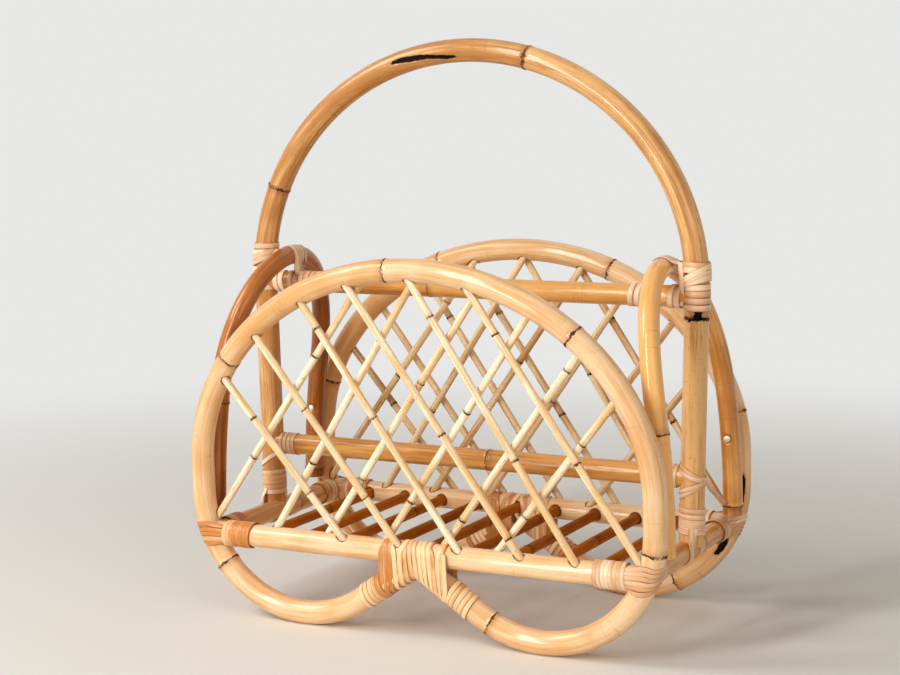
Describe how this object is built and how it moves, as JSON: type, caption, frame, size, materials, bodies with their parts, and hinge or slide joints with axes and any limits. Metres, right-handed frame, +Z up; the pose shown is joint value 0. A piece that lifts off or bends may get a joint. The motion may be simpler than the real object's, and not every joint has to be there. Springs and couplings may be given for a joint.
{
  "type": "magazine basket",
  "caption": "Rattan magazine basket: two bent-cane hoops on curled feet with lattice panels, a slatted floor, end arches, divider rails and a tall arched handle.",
  "frame": {"origin": "on the floor, at the middle of the basket's footprint", "axes": "+Z up; +X along the basket, towards the right post of the handle; -Y faces the front lattice panel, +Y the rear one"},
  "size_m": [0.3652, 0.2023, 0.4135],
  "materials": {
    "hoop_cane": "satin, natural varnished cane pole with ringed joints",
    "handle_cane": "satin, warmer varnished cane pole with ringed joints",
    "rail_cane": "satin, orange-brown varnished cane",
    "arch_cane": "glossy, dark red-brown varnished cane",
    "lattice_cane": "matt, thin peeled cane with dark joint marks",
    "dowel_cane": "satin, dark brown cane",
    "peel": "satin, flat cane peel, pinkish tan",
    "nail_steel": "dull nail steel"
  },
  "bodies": {
    "root": {"front_hoop": "hoop_cane", "front_base_rail": "hoop_cane", "front_rising_cane_1": "lattice_cane", "front_rising_cane_2": "lattice_cane", "front_rising_cane_3": "lattice_cane", "front_rising_cane_4": "lattice_cane", "front_rising_cane_5": "lattice_cane", "front_rising_cane_6": "lattice_cane", "front_falling_cane_1": "lattice_cane", "front_falling_cane_2": "lattice_cane", "front_falling_cane_3": "lattice_cane", "front_falling_cane_4": "lattice_cane", "front_falling_cane_5": "lattice_cane", "front_falling_cane_6": "lattice_cane", "front_centre_binding": "peel", "front_left_corner_binding": "peel", "front_left_arch_nail": "nail_steel", "front_right_corner_binding": "peel", "front_right_arch_nail": "nail_steel", "rear_hoop": "hoop_cane", "rear_base_rail": "hoop_cane", "rear_rising_cane_1": "lattice_cane", "rear_rising_cane_2": "lattice_cane", "rear_rising_cane_3": "lattice_cane", "rear_rising_cane_4": "lattice_cane", "rear_rising_cane_5": "lattice_cane", "rear_rising_cane_6": "lattice_cane", "rear_falling_cane_1": "lattice_cane", "rear_falling_cane_2": "lattice_cane", "rear_falling_cane_3": "lattice_cane", "rear_falling_cane_4": "lattice_cane", "rear_falling_cane_5": "lattice_cane", "rear_falling_cane_6": "lattice_cane", "rear_centre_binding": "peel", "rear_left_corner_binding": "peel", "rear_left_arch_nail": "nail_steel", "rear_right_corner_binding": "peel", "rear_right_arch_nail": "nail_steel", "left_end_rail": "rail_cane", "left_end_arch": "arch_cane", "left_post_foot_binding": "peel", "left_post_top_binding": "peel", "left_middle_rail_binding": "peel", "right_end_rail": "rail_cane", "right_end_arch": "arch_cane", "right_post_foot_binding": "peel", "right_post_top_binding": "peel", "right_middle_rail_binding": "peel", "handle_pole": "handle_cane", "middle_divider_rail": "rail_cane", "upper_divider_rail": "rail_cane", "floor_dowel_1": "dowel_cane", "floor_dowel_2": "dowel_cane", "floor_dowel_3": "dowel_cane", "floor_dowel_4": "dowel_cane", "floor_dowel_5": "dowel_cane", "floor_dowel_6": "dowel_cane", "floor_dowel_7": "dowel_cane", "floor_dowel_8": "dowel_cane", "floor_dowel_9": "dowel_cane"}
  },
  "joints": []
}
